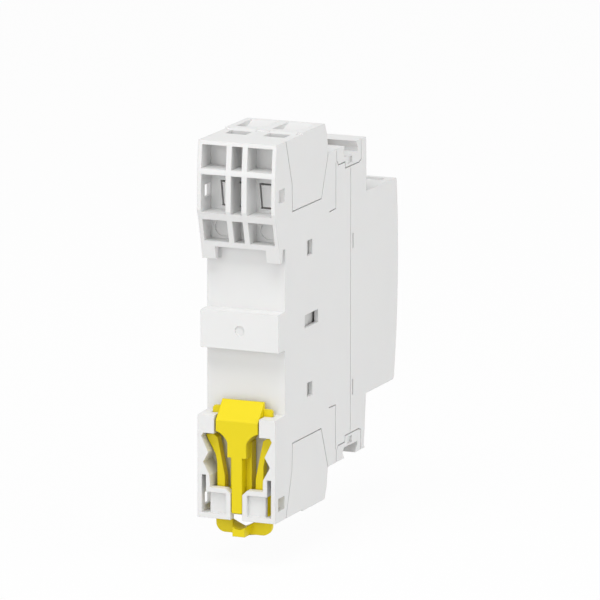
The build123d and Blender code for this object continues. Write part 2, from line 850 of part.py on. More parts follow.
for end_name, end in ends.items():
    with BuildPart() as shading_ring:
        ring_y = (core_y - core_gap - ring_depth, core_y - core_gap)
        outer_bar_z = magnet_half_z + press_gap
        block(
            centred(0, stack_half + press_gap + 0.5),
            ring_y,
            facing(end, ring_z, outer_bar_z + ring_bar),
        )
        block(
            centred(0, stack_half + press_gap),
            (ring_y[0] - 1, ring_y[1] + 1),
            facing(end, ring_z + ring_bar, outer_bar_z),
            mode=Mode.SUBTRACT,
        )
    write(shading_ring, f"shading_ring_{end_name}")

with BuildPart() as core_damper:
    damper_front_y = core_front_y - press_gap - damper
    block(
        centred(0, stack_half - 0.5), (damper_front_y, core_front_y - press_gap), centred(0, 10.5)
    )
    fillet(core_damper.edges().filter_by(Axis.Y), 0.8)
write(core_damper, "core_damper")

# Bobbin round the core's centre leg, its rear flange carries the return springs
with BuildPart() as coil_bobbin:
    flange_x = centred(0, inner_half - press_gap)
    rear_flange = (bobbin_rear_y - bobbin_flange, bobbin_rear_y)
    block(flange_x, rear_flange, centred(0, bobbin_half_z))
    block(flange_x, (bobbin_front_y, bobbin_front_y + bobbin_flange), centred(0, outer_leg_z - 0.1))
    bore_x = stack_half + press_gap
    bore_z = centre_leg + press_gap
    block(
        centred(0, bore_x + bobbin_wall),
        (bobbin_front_y, bobbin_rear_y),
        centred(0, bore_z + bobbin_wall),
    )
    block(
        centred(0, bore_x),
        (bobbin_front_y - 1, bobbin_rear_y + 1),
        centred(0, bore_z),
        mode=Mode.SUBTRACT,
    )
    for end in ends.values():
        block(
            centred(0, stack_half + slide_gap),
            (bobbin_rear_y - 2 * bobbin_flange, bobbin_rear_y + 1),
            facing(end, outer_leg_z - press_gap, flag_z[1] + 0.3),
            mode=Mode.SUBTRACT,
        )
        peg_y = (bobbin_rear_y - 0.1, bobbin_rear_y + peg_length)
        rod(peg_radius, 0, end * return_spring_z, peg_y)
write(coil_bobbin, "coil_bobbin")

with BuildPart() as coil_winding:
    winding_y = (bobbin_front_y + bobbin_flange + press_gap, rear_flange[0] - press_gap)
    block(centred(0, winding_half_x), winding_y, centred(0, winding_half_z))
    fillet(coil_winding.edges().filter_by(Axis.Y), 1.6)
    block(
        centred(0, bore_x + bobbin_wall + press_gap),
        (winding_y[0] - 1, winding_y[1] + 1),
        centred(0, bore_z + bobbin_wall + press_gap),
        mode=Mode.SUBTRACT,
    )
write(coil_winding, "coil_winding")

# Moving bridges with their silver tips, and the springs
for side_name, x in poles.items():
    with BuildPart() as contact_bridge:
        block(
            centred(x, bridge_half_x), (bridge_y, bridge_y + bridge_thick), centred(0, bridge_half_z)
        )
        fillet(contact_bridge.edges().filter_by(Axis.Y), 0.8)
        rod(peg_radius - 0.1, x, 0, (bridge_y, bridge_y + bridge_thick + 0.8))
    write(contact_bridge, f"contact_bridge_{side_name}")
    with BuildPart() as moving_tips:
        for end in ends.values():
            rod(tip_radius, x, end * tip_z, (moving_tip_y, bridge_y))
    write(moving_tips, f"moving_tips_{side_name}")
    contact_spring = spring(
        contact_spring_radius,
        contact_spring_wire,
        4,
        x,
        0,
        (bridge_y + bridge_thick, window_rear_y),
    )
    write(contact_spring, f"contact_spring_{side_name}")
for end_name, end in ends.items():
    return_spring = spring(
        return_spring_radius,
        return_spring_wire,
        6,
        0,
        end * return_spring_z,
        (bobbin_rear_y, carrier_plate_y),
    )
    write(return_spring, f"return_spring_{end_name}")

# Rail clip: hooked head, stem and rib, and a plate with a slot for a screwdriver
with BuildPart() as rail_clip:
    head_profile = [
        (rail_slot, clip_head_top),
        (rail_slot_mouth, clip_head_top),
        (clip_rear_y, clip_crease_z),
        (clip_rear_y, clip_head_end - 1.6),
        (clip_gap, clip_head_end - 1.6),
        (clip_gap, rail_stop_z - 0.15),
        (rail_slot, rail_stop_z - 0.15),
    ]
    flank_prism(head_profile, (-clip_head_half, clip_head_half))
    # Round shoulders, from the head down to the stem
    for side in (1, -1):
        with BuildSketch(Plane.XZ.offset(-rear_y)):
            with BuildLine():
                corner = (side * (clip_head_half + 1), clip_head_end - 3)
                start = (side * (clip_head_half + 1), clip_head_end + 0.7)
                bend = (side * 3.4, clip_head_end)
                finish = (side * clip_stem_half, clip_head_end - 1.6)
                Line(corner, start)
                Line(start, (side * clip_head_half, clip_head_end + 0.7))
                ThreePointArc((side * clip_head_half, clip_head_end + 0.7), bend, finish)
                Line(finish, (side * clip_stem_half, clip_head_end - 3))
                Line((side * clip_stem_half, clip_head_end - 3), corner)
            make_face()
        extrude(amount=rear_y + 1, mode=Mode.SUBTRACT)
        wing = [
            (side * (clip_head_half - 0.3), wing_z[1]),
            (side * (wing_half - wing_slant), wing_z[1]),
            (side * wing_half, wing_z[0] + wing_slant),
            (side * wing_half, wing_z[0]),
            (side * (clip_head_half - 0.3), wing_z[0]),
        ]
        rear_prism(wing, (1.1, 2.0))
    block(
        centred(0, clip_stem_half), (clip_gap, clip_rear_y), (clip_stem_end, clip_head_end - 1.5)
    )
    block(
        centred(0, clip_stem_half + 0.25), (clip_gap, clip_web_y), (-37.0, clip_head_end - 1.5)
    )
    block(centred(0, clip_rib_half), (clip_gap, clip_rear_y), (clip_rib_end, clip_stem_end))
    fillet(rail_clip.edges().filter_by(Axis.Y).group_by(Axis.Z)[0], clip_rib_corner)
    # Plate with the screwdriver slot and a lip along its free end
    with BuildSketch(Plane.XZ.offset(-clip_plate_y)) as plate:
        plate_height = clip_plate_top - clip_end
        with Locations((0, (clip_plate_top + clip_end) / 2)):
            Rectangle(2 * clip_plate_half, plate_height)
        fillet(plate.vertices().group_by(Axis.Y)[0], 2.0)
        with Locations((0, -40.4)):
            Rectangle(2 * scoop_radius, 3.0, mode=Mode.SUBTRACT)
    extrude(amount=clip_plate_y - clip_gap)
    tongue = [
        (clip_gap, tongue_top),
        (tongue_y - 0.3, tongue_top),
        (tongue_y, tongue_top - 0.5),
        (tongue_y - 0.3, clip_end - 0.15),
        (clip_gap, clip_end - 0.25),
    ]
    flank_prism(tongue, (-tongue_half, tongue_half))
    scoop_y = (clip_plate_y - 0.6, tongue_y + 1)
    rod(scoop_radius, 0, tongue_top + scoop_radius / 2, scoop_y, mode=Mode.SUBTRACT)
write(rail_clip, "rail_clip")

# The clip's two spring arms, which snap from one rest notch to the other
arm_outline = [
    (7.8, -22.7),
    (7.3, -23.9),
    (6.1, -25.9),
    (5.6, -27.0),
    (5.3, -28.5),
    (5.2, -37.0),
    (3.5, -37.0),
    (3.5, -31.4),
    (4.5, -26.4),
    (5.2, -23.2),
    (6.1, -22.5),
]
with BuildPart() as clip_spring_arms:
    for side in (1, -1):
        rear_prism([(side * x, z) for x, z in arm_outline], arm_y)
write(clip_spring_arms, "clip_spring_arms")
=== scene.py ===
import json
import math
import bmesh
import bpy
from mathutils import Matrix, Vector


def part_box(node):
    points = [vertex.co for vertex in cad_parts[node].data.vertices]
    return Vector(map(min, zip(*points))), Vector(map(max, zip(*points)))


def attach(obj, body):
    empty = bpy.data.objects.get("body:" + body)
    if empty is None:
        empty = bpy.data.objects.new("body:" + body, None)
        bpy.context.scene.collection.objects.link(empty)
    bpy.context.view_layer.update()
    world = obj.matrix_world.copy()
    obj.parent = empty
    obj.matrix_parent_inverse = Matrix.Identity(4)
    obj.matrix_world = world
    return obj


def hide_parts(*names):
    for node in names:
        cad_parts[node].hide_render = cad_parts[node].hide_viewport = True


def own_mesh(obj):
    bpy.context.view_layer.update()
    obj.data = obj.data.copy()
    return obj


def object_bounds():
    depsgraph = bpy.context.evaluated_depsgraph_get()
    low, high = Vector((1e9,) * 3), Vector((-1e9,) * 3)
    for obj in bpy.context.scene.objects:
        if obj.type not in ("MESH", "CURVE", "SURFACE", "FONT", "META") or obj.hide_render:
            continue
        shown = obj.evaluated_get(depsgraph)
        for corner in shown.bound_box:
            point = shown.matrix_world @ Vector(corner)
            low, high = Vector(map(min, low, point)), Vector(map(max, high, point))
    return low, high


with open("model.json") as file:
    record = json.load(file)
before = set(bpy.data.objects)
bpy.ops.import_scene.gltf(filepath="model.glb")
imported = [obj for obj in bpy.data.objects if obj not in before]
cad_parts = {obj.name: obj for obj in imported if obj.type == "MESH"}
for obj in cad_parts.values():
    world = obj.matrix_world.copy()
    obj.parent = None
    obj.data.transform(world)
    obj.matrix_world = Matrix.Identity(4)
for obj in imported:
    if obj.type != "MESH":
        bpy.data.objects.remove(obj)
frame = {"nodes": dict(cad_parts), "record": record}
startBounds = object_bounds()
nodes = frame["nodes"]
mm = 0.001
print("frame loaded:", len(nodes), "nodes")

bodyOf = {}
for bodyName, names in frame["record"]["behaviour"]["bodies"].items():
    for nodeName in names:
        bodyOf[nodeName] = bodyName
slotOf = {part["node"]: part["material_slot"] for part in frame["record"]["subparts"]}


def newMaterial(name):
    material = bpy.data.materials.new(name)
    material.use_nodes = True
    tree = material.node_tree
    return material, tree, tree.nodes["Principled BSDF"]


def addNode(tree, kind, **settings):
    node = tree.nodes.new(kind)
    for key, value in settings.items():
        setattr(node, key, value)
    return node


def noiseOn(tree, coordinates, scale, detail=2.0, stretch=None):
    # noise on object coordinates, stretched along an axis for a drawn or milled grain
    source = coordinates.outputs["Object"]
    if stretch:
        mapping = addNode(tree, "ShaderNodeMapping")
        mapping.inputs["Scale"].default_value = stretch
        tree.links.new(source, mapping.inputs["Vector"])
        source = mapping.outputs["Vector"]
    noise = addNode(tree, "ShaderNodeTexNoise")
    noise.inputs["Scale"].default_value = scale
    noise.inputs["Detail"].default_value = detail
    tree.links.new(source, noise.inputs["Vector"])
    return noise


def mixColours(tree, factor, first, second):
    mix = addNode(tree, "ShaderNodeMix", data_type="RGBA")
    mix.inputs[6].default_value = (*first, 1)
    mix.inputs[7].default_value = (*second, 1)
    tree.links.new(factor, mix.inputs[0])
    return mix.outputs[2]


def rangeOf(tree, value, low, high):
    spread = addNode(tree, "ShaderNodeMapRange")
    spread.inputs["To Min"].default_value = low
    spread.inputs["To Max"].default_value = high
    tree.links.new(value, spread.inputs["Value"])
    return spread.outputs["Result"]


def mouldedPlastic(name, look):
    # spark-eroded mould finish: fine pebbled bump, slow drift of tone and of gloss
    material, tree, shader = newMaterial(name)
    coordinates = addNode(tree, "ShaderNodeTexCoord")
    drift = noiseOn(tree, coordinates, look["driftScale"], 3.0)
    colour = mixColours(tree, drift.outputs["Fac"], look["colour"], look["colourDrift"])
    tree.links.new(colour, shader.inputs["Base Color"])
    edges = addNode(tree, "ShaderNodeBevel", samples=6)  # the rounded edge that a mould leaves
    edges.inputs["Radius"].default_value = look["edgeRadius"]
    pebble = noiseOn(tree, coordinates, look["grainScale"], 4.0)
    tree.links.new(rangeOf(tree, pebble.outputs["Fac"], *look["roughness"]), shader.inputs["Roughness"])
    bump = addNode(tree, "ShaderNodeBump")
    bump.inputs["Strength"].default_value = look["grainStrength"]
    bump.inputs["Distance"].default_value = look["grainDepth"]
    tree.links.new(pebble.outputs["Fac"], bump.inputs["Height"])
    tree.links.new(edges.outputs["Normal"], bump.inputs["Normal"])
    tree.links.new(bump.outputs["Normal"], shader.inputs["Normal"])
    shader.inputs["IOR"].default_value = look["ior"]
    shader.inputs["Subsurface Weight"].default_value = look["glow"]
    shader.inputs["Subsurface Scale"].default_value = look["glowReach"]
    return material


def workedMetal(name, look):
    # metal with a directional grain and a slight blotch of tarnish
    material, tree, shader = newMaterial(name)
    coordinates = addNode(tree, "ShaderNodeTexCoord")
    blotch = noiseOn(tree, coordinates, look["blotchScale"], 3.0)
    colour = mixColours(tree, blotch.outputs["Fac"], look["colour"], look["tarnish"])
    tree.links.new(colour, shader.inputs["Base Color"])
    grain = noiseOn(tree, coordinates, look["grainScale"], 3.0, look["grainStretch"])
    tree.links.new(rangeOf(tree, grain.outputs["Fac"], *look["roughness"]), shader.inputs["Roughness"])
    bump = addNode(tree, "ShaderNodeBump")
    bump.inputs["Strength"].default_value = look["grainStrength"]
    bump.inputs["Distance"].default_value = look["grainDepth"]
    tree.links.new(grain.outputs["Fac"], bump.inputs["Height"])
    tree.links.new(bump.outputs["Normal"], shader.inputs["Normal"])
    shader.inputs["Metallic"].default_value = 1.0
    return material


plasticBase = {
    "driftScale": 60.0, "grainScale": 5200.0, "grainStrength": 0.28, "grainDepth": 0.03 * mm,
    "roughness": (0.42, 0.56), "ior": 1.5, "glow": 0.0, "glowReach": 0.4 * mm,
    "edgeRadius": 0.16 * mm,
}
plasticLooks = {
    "housing_plastic": {"colour": (0.74, 0.74, 0.735), "colourDrift": (0.71, 0.71, 0.705),
                        "glow": 0.03},
    "chamber_plastic": {"colour": (0.60, 0.60, 0.59), "colourDrift": (0.54, 0.54, 0.53)},
    "clip_yellow": {"colour": (0.755, 0.61, 0.002), "colourDrift": (0.725, 0.585, 0.002), "ior": 1.36,
                    "roughness": (0.34, 0.46), "grainStrength": 0.15, "edgeRadius": 0.3 * mm},
    "carrier_plastic": {"colour": (0.60, 0.60, 0.59), "colourDrift": (0.56, 0.56, 0.55)},
    "flag_plastic": {"colour": (0.55, 0.030, 0.022), "colourDrift": (0.48, 0.025, 0.018)},
    "bobbin_plastic": {"colour": (0.055, 0.055, 0.060), "colourDrift": (0.075, 0.075, 0.080)},
    "damper_rubber": {"colour": (0.025, 0.025, 0.025), "colourDrift": (0.035, 0.035, 0.035),
                      "roughness": (0.75, 0.9), "grainStrength": 0.4},
}
metalBase = {
    "blotchScale": 350.0, "grainScale": 900.0, "grainStretch": (1.0, 1.0, 12.0),
    "roughness": (0.22, 0.42), "grainStrength": 0.12, "grainDepth": 0.02 * mm,
}
metalLooks = {
    "core_steel": {"colour": (0.42, 0.42, 0.44), "tarnish": (0.33, 0.32, 0.32),
                   "grainScale": 1600.0, "grainStretch": (12.0, 1.0, 1.0), "grainStrength": 0.5},
    "plated_steel": {"colour": (0.68, 0.68, 0.67), "tarnish": (0.56, 0.57, 0.60)},
    "spring_steel": {"colour": (0.55, 0.55, 0.57), "tarnish": (0.46, 0.46, 0.48)},
    "contact_brass": {"colour": (0.80, 0.56, 0.24), "tarnish": (0.68, 0.45, 0.18)},
    "copper": {"colour": (0.80, 0.34, 0.16), "tarnish": (0.62, 0.24, 0.11)},
    "silver": {"colour": (0.86, 0.85, 0.82), "tarnish": (0.75, 0.74, 0.71)},
}
finishes = {}
for slotName, look in plasticLooks.items():
    finishes[slotName] = mouldedPlastic(slotName + "_finish", {**plasticBase, **look})
for slotName, look in metalLooks.items():
    finishes[slotName] = workedMetal(slotName + "_finish", {**metalBase, **look})
for nodeName, node in nodes.items():
    node.data.materials.clear()
    node.data.materials.append(finishes[slotOf[nodeName]])
print("finishes made:", len(finishes))

mergeDistance = 0.002 * mm


def newTree(name, inputs):
    # an empty tree of geometry nodes with named inputs, and its first and last nodes
    tree = bpy.data.node_groups.new(name, "GeometryNodeTree")
    for label, kind in inputs.items():
        tree.interface.new_socket(label, in_out="INPUT", socket_type="NodeSocket" + kind)
    tree.interface.new_socket("Geometry", in_out="OUTPUT", socket_type="NodeSocketGeometry")
    return tree, tree.nodes.new("NodeGroupInput"), tree.nodes.new("NodeGroupOutput")


def finishTree(tree, shape, given, last):
    # every tree ends in real meshes with one finish
    smooth = tree.nodes.new("GeometryNodeSetShadeSmooth")
    real = tree.nodes.new("GeometryNodeRealizeInstances")
    paint = tree.nodes.new("GeometryNodeSetMaterial")
    tree.links.new(shape, smooth.inputs["Geometry"])
    tree.links.new(smooth.outputs["Geometry"], real.inputs["Geometry"])
    tree.links.new(real.outputs["Geometry"], paint.inputs["Geometry"])
    tree.links.new(given.outputs["Finish"], paint.inputs["Material"])
    tree.links.new(paint.outputs["Geometry"], last.inputs["Geometry"])


def grow(tree, name, values):
    # runs a tree on an empty object and keeps the result as a plain mesh, with no modifier left
    seed = bpy.data.objects.new(name, bpy.data.meshes.new(name))
    bpy.context.scene.collection.objects.link(seed)
    modifier = seed.modifiers.new(tree.name, "NODES")
    modifier.node_group = tree
    for socket in tree.interface.items_tree:
        if socket.in_out == "INPUT":
            modifier[socket.identifier] = values[socket.name]
    depsgraph = bpy.context.evaluated_depsgraph_get()
    grown = bpy.data.meshes.new_from_object(seed.evaluated_get(depsgraph))
    seed.modifiers.clear()
    seed.data = grown
    return seed


def makeSpiralTree():
    # a wire wound along +Y, its first and last turns lying flat
    tree, given, last = newTree("spiral", {
        "Radius": "Float", "Wire": "Float", "Length": "Float", "Turns": "Float", "Flat Turns": "Float",
        "Wire Sides": "Int", "Place": "Vector", "Finish": "Material"})
    add, wire = tree.nodes.new, tree.links.new
    spiral = add("GeometryNodeCurveSpiral")
    spiral.inputs["Resolution"].default_value = 28  # points in each turn
    spiral.inputs["Height"].default_value = 0.0
    wire(given.outputs["Turns"], spiral.inputs["Rotations"])
    wire(given.outputs["Radius"], spiral.inputs["Start Radius"])
    wire(given.outputs["Radius"], spiral.inputs["End Radius"])
    along = add("GeometryNodeSplineParameter")
    share = add("ShaderNodeMath")
    share.operation = "DIVIDE"
    wire(given.outputs["Flat Turns"], share.inputs[0])
    wire(given.outputs["Turns"], share.inputs[1])
    rest = add("ShaderNodeMath")
    rest.operation = "SUBTRACT"
    rest.inputs[0].default_value = 1.0
    wire(share.outputs[0], rest.inputs[1])
    rise = add("ShaderNodeMapRange")
    wire(along.outputs["Factor"], rise.inputs["Value"])
    wire(share.outputs[0], rise.inputs["From Min"])
    wire(rest.outputs[0], rise.inputs["From Max"])
    wire(given.outputs["Length"], rise.inputs["To Max"])
    position = add("GeometryNodeInputPosition")
    parts = add("ShaderNodeSeparateXYZ")
    wire(position.outputs[0], parts.inputs[0])
    turned = add("ShaderNodeCombineXYZ")
    wire(parts.outputs["X"], turned.inputs["X"])
    wire(rise.outputs["Result"], turned.inputs["Y"])
    wire(parts.outputs["Y"], turned.inputs["Z"])
    moved = add("GeometryNodeSetPosition")
    wire(spiral.outputs["Curve"], moved.inputs["Geometry"])
    wire(turned.outputs[0], moved.inputs["Position"])
    wire(given.outputs["Place"], moved.inputs["Offset"])
    profile = add("GeometryNodeCurvePrimitiveCircle")
    wire(given.outputs["Wire Sides"], profile.inputs["Resolution"])
    half = add("ShaderNodeMath")
    half.operation = "MULTIPLY"
    half.inputs[1].default_value = 0.5
    wire(given.outputs["Wire"], half.inputs[0])
    wire(half.outputs[0], profile.inputs["Radius"])
    tube = add("GeometryNodeCurveToMesh")
    tube.inputs["Fill Caps"].default_value = True
    wire(moved.outputs["Geometry"], tube.inputs["Curve"])
    wire(profile.outputs["Curve"], tube.inputs["Profile Curve"])
    finishTree(tree, tube.outputs["Mesh"], given, last)
    return tree


def makeTurnsTree():
    # closed turns of fine wire round a rounded rectangle, one beside the other along +Y
    tree, given, last = newTree("turns", {
        "Width": "Float", "Height": "Float", "Corner": "Float", "Wire": "Float", "Count": "Int",
        "Place": "Vector", "Finish": "Material"})
    add, wire = tree.nodes.new, tree.links.new
    outline = add("GeometryNodeCurvePrimitiveQuadrilateral")
    wire(given.outputs["Width"], outline.inputs["Width"])
    wire(given.outputs["Height"], outline.inputs["Height"])
    rounded = add("GeometryNodeFilletCurve")
    rounded.mode = "POLY"
    rounded.inputs["Count"].default_value = 4  # points in each corner
    wire(outline.outputs["Curve"], rounded.inputs["Curve"])
    wire(given.outputs["Corner"], rounded.inputs["Radius"])
    profile = add("GeometryNodeCurvePrimitiveCircle")
    profile.inputs["Resolution"].default_value = 6  # sides of the fine wire
    half = add("ShaderNodeMath")
    half.operation = "MULTIPLY"
    half.inputs[1].default_value = 0.5
    wire(given.outputs["Wire"], half.inputs[0])
    wire(half.outputs[0], profile.inputs["Radius"])
    turn = add("GeometryNodeCurveToMesh")
    wire(rounded.outputs["Curve"], turn.inputs["Curve"])
    wire(profile.outputs["Curve"], turn.inputs["Profile Curve"])
    upright = add("GeometryNodeTransform")
    upright.inputs["Rotation"].default_value = (math.pi / 2, 0, 0)
    wire(turn.outputs["Mesh"], upright.inputs["Geometry"])
    step = add("ShaderNodeCombineXYZ")
    wire(given.outputs["Wire"], step.inputs["Y"])
    row = add("GeometryNodeMeshLine")
    wire(given.outputs["Count"], row.inputs["Count"])
    wire(given.outputs["Place"], row.inputs["Start Location"])
    wire(step.outputs[0], row.inputs["Offset"])
    spread = add("GeometryNodeInstanceOnPoints")
    wire(row.outputs["Mesh"], spread.inputs["Points"])
    wire(upright.outputs["Geometry"], spread.inputs["Instance"])
    finishTree(tree, spread.outputs["Instances"], given, last)
    return tree


def makeRidgeTree():
    # a row of three-sided ridges across X, spaced along Z, that bite into a clamped wire
    tree, given, last = newTree("ridges", {
        "Width": "Float", "Size": "Float", "Pitch": "Float", "Count": "Int", "Place": "Vector",
        "Finish": "Material"})
    add, wire = tree.nodes.new, tree.links.new
    bar = add("GeometryNodeMeshCylinder")
    bar.inputs["Vertices"].default_value = 3  # one edge of the three bites
    wire(given.outputs["Size"], bar.inputs["Radius"])
    wire(given.outputs["Width"], bar.inputs["Depth"])
    lying = add("GeometryNodeTransform")
    lying.inputs["Rotation"].default_value = (0, math.pi / 2, 0)
    wire(bar.outputs["Mesh"], lying.inputs["Geometry"])
    step = add("ShaderNodeCombineXYZ")
    wire(given.outputs["Pitch"], step.inputs["Z"])
    row = add("GeometryNodeMeshLine")
    wire(given.outputs["Count"], row.inputs["Count"])
    wire(given.outputs["Place"], row.inputs["Start Location"])
    wire(step.outputs[0], row.inputs["Offset"])
    spread = add("GeometryNodeInstanceOnPoints")
    wire(row.outputs["Mesh"], spread.inputs["Points"])
    wire(lying.outputs["Geometry"], spread.inputs["Instance"])
    real = add("GeometryNodeRealizeInstances")
    paint = add("GeometryNodeSetMaterial")
    wire(spread.outputs["Instances"], real.inputs["Geometry"])
    wire(real.outputs["Geometry"], paint.inputs["Geometry"])
    wire(given.outputs["Finish"], paint.inputs["Material"])
    wire(paint.outputs["Geometry"], last.inputs["Geometry"])
    return tree


def place(piece, nodeName, replaced):
    # a piece that rides with a node's body, and may stand for it
    if replaced:
        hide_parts(nodeName)
    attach(piece, bodyOf[nodeName])


spiralTree = makeSpiralTree()
turnsTree = makeTurnsTree()
ridgeTree = makeRidgeTree()

springLooks = {
    # kind of spring: diameter of its wire, turns, and how far the joint presses it
    "return_spring": {"wire": 0.5 * mm, "turns": 7.5, "travel": 4.0 * mm},
    "contact_spring": {"wire": 0.4 * mm, "turns": 5.0, "travel": 1.0 * mm},
}
springJoints = {
    "return_spring_upper": "carrier_slide", "return_spring_lower": "carrier_slide",
    "contact_spring_right": "bridge_right_slide", "contact_spring_left": "bridge_left_slide",
}
for nodeName, jointName in springJoints.items():
    look = springLooks[nodeName.rsplit("_", 1)[0]]
    low, high = (Vector(corner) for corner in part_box(nodeName))
    middle = (low + high) / 2
    length = high.y - low.y
    spring = grow(spiralTree, nodeName + "_wire", {
        "Radius": (high.x - low.x) / 2 - look["wire"] / 2, "Wire": look["wire"],
        "Length": length - look["wire"], "Turns": look["turns"], "Flat Turns": 1.0, "Wire Sides": 12,
        "Place": (middle.x, low.y + look["wire"] / 2, middle.z), "Finish": finishes["spring_steel"]})
    place(spring, nodeName, True)
    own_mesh(spring)
print("springs wound:", len(springJoints))

screwLooks = {
    # kind of screw: thread's outer radius, depth and pitch, and the length of its head
    "power_screw": {"radius": 1.5 * mm, "depth": 0.25 * mm, "pitch": 0.6 * mm, "head": 1.4 * mm},
    "coil_screw": {"radius": 1.25 * mm, "depth": 0.2 * mm, "pitch": 0.5 * mm, "head": 1.1 * mm},
}


def threadedScrew(nodeName, look):
    # the screw's head and a thinner shank from its solid, with a thread wound round the shank
    low, high = (Vector(corner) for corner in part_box(nodeName))
    middle = (low + high) / 2
    shape = bmesh.new()
    shape.from_mesh(nodes[nodeName].data)
    bmesh.ops.remove_doubles(shape, verts=shape.verts, dist=mergeDistance)
    shankStart = low.y + look["head"] - mergeDistance
    for vert in shape.verts:
        out = Vector((vert.co.x - middle.x, 0, vert.co.z - middle.z))
        if vert.co.y > shankStart and out.length < look["radius"] + mergeDistance:
            vert.co -= out.normalized() * look["depth"] if out.length > look["depth"] else out * 0
    mesh = bpy.data.meshes.new(nodeName + "_threaded")
    shape.to_mesh(mesh)
    shape.free()
    mesh.materials.append(finishes[slotOf[nodeName]])
    screw = bpy.data.objects.new(nodeName + "_threaded", mesh)
    bpy.context.scene.collection.objects.link(screw)
    threadLength = high.y - shankStart - look["pitch"]
    thread = grow(spiralTree, nodeName + "_thread", {
        "Radius": look["radius"] - look["depth"], "Wire": 2 * look["depth"], "Length": threadLength,
        "Turns": threadLength / look["pitch"], "Flat Turns": 0.0, "Wire Sides": 4,
        "Place": (middle.x, shankStart + look["pitch"] / 2, middle.z),
        "Finish": finishes[slotOf[nodeName]]})
    place(screw, nodeName, True)
    place(thread, nodeName, False)


for nodeName in list(nodes):
    for kind, look in screwLooks.items():
        if nodeName.startswith(kind):
            threadedScrew(nodeName, look)
print("screws threaded")

windingLook = {"wire": 0.2 * mm, "corner": 1.6 * mm, "sunk": 0.05 * mm}
low, high = (Vector(corner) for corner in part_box("coil_winding"))
turnCount = int((high.y - low.y) / windingLook["wire"])
turns = grow(turnsTree, "coil_winding_turns", {
    "Width": high.x - low.x - 2 * windingLook["sunk"],
    "Height": high.z - low.z - 2 * windingLook["sunk"],
    "Corner": windingLook["corner"], "Wire": windingLook["wire"], "Count": turnCount,
    "Place": ((low.x + high.x) / 2, low.y + windingLook["wire"] / 2, (low.z + high.z) / 2),
    "Finish": finishes["copper"]})
place(turns, "coil_winding", False)
print("winding turns laid:", turnCount)

biteLooks = {
    # kind of clamp: size of its ridges, depth of the far plate that carries them
    "power_cage": {"size": 0.16 * mm, "plate": 1.2 * mm},
    "coil_cage": {"size": 0.15 * mm, "plate": 1.1 * mm},
}
ridgeRow = {"width": 3.6 * mm, "pitch": 0.7 * mm, "count": 5}  # spaced along the wire
for nodeName in list(nodes):
    for kind, look in biteLooks.items():
        if not nodeName.startswith(kind):
            continue
        low, high = (Vector(corner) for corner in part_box(nodeName))
        middle = (low + high) / 2
        firstRidge = middle.z - ridgeRow["pitch"] * (ridgeRow["count"] - 1) / 2
        ridges = grow(ridgeTree, nodeName + "_ridges", {
            "Width": ridgeRow["width"], "Size": look["size"], "Pitch": ridgeRow["pitch"],
            "Count": ridgeRow["count"], "Place": (middle.x, high.y - look["plate"], firstRidge),
            "Finish": finishes[slotOf[nodeName]]})
        place(ridges, nodeName, False)
print("clamp ridges cut")

clipLook = {
    # wing beside the head: new height of its top, its corner and the shoulder outside it
    "wingTop": -16.62 * mm, "wingCorner": 6.4 * mm, "wingShoulder": -17.1 * mm,
    # wing of the solid: its height, depth and half width, and where the top and the corner start
    "wingHeight": (-18.95 * mm, -16.7 * mm), "wingDepth": (1.05 * mm, 2.05 * mm),
    "wingHalf": (4.7 * mm, 6.7 * mm), "topStart": -18.0 * mm, "cornerStart": 5.5 * mm,
    "shoulderStart": -18.5 * mm,
    # lower end of the rib: height and half width in the solid, and how far it is lifted
    "ribEnd": (-39.05 * mm, -38.6 * mm), "ribHalf": 1.25 * mm, "ribRise": 0.25 * mm,
    # screwdriver slot and the guide under it
    "slotHalf": 2.75 * mm, "slotTop": -38.9 * mm, "slotBottom": -45.0 * mm,
    "slotBack": -1.0 * mm, "slotFront": 4.0 * mm, "guideSides": 16,
    # in mm: depth, half width and height of the top edges, its middle's height and roundness,
    # half width and height beneath
    "guideRows": [
        (0.25, 2.75, -41.05, -42.3, 1.15, 2.75, -43.85),
        (1.3, 2.75, -41.0, -42.35, 1.2, 2.75, -43.85),
        (1.305, 2.4, -41.1, -42.35, 1.2, 1.25, -44.05),
        (4.1, 1.42, -41.9, -42.45, 1.8, 1.38, -43.95),
    ],
}


def joinedMesh(name, first, second, how):
    # the solid that two closed solids leave together, or one without the other
    holder = bpy.data.objects.new(name, first)
    other = bpy.data.objects.new(name + "_other", second)
    for thing in (holder, other):
        bpy.context.scene.collection.objects.link(thing)
    cut = holder.modifiers.new(how.lower(), "BOOLEAN")
    cut.operation = how
    cut.object = other
    cut.solver = "EXACT"
    depsgraph = bpy.context.evaluated_depsgraph_get()
    result = bpy.data.meshes.new_from_object(holder.evaluated_get(depsgraph))
    for thing in (holder, other):
        bpy.data.objects.remove(thing)
    return result


boxFaces = [(0, 1, 3, 2), (4, 6, 7, 5), (0, 4, 5, 1), (2, 3, 7, 6), (0, 2, 6, 4), (1, 5, 7, 3)]


def closedMesh(name, points, faces):
    # a closed solid from its corners, with its faces turned outwards
    shape = bmesh.new()
    corners = [shape.verts.new(point) for point in points]
    for face in faces:
        shape.faces.new([corners[i] for i in face])
    bmesh.ops.recalc_face_normals(shape, faces=shape.faces)
    mesh = bpy.data.meshes.new(name)
    shape.to_mesh(mesh)
    shape.free()
    return mesh


